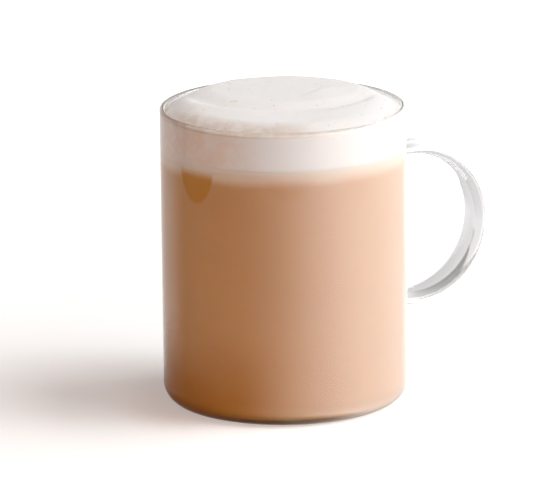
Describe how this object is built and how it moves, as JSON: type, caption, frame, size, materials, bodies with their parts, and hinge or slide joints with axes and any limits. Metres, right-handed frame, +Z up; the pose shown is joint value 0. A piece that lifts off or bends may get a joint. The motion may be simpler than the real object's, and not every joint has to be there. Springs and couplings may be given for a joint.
{
  "type": "cup of cappuccino",
  "caption": "Straight-sided clear glass mug with a bow handle, filled to the brim with milky coffee under a thick layer of white milk foam.",
  "frame": {"origin": "on the mug's axis, in the plane of the foot that it stands on", "axes": "+Z up along the mug's axis, +X towards the handle"},
  "size_m": [0.1124, 0.08, 0.1012],
  "materials": {
    "clear_glass": "polished",
    "milky_coffee": "gloss",
    "beige_milk": "gloss",
    "white_foam": "matte"
  },
  "bodies": {
    "root": {"glass_mug": "clear_glass", "coffee": "milky_coffee", "beige_layer": "beige_milk", "milk_foam": "white_foam"}
  },
  "joints": []
}
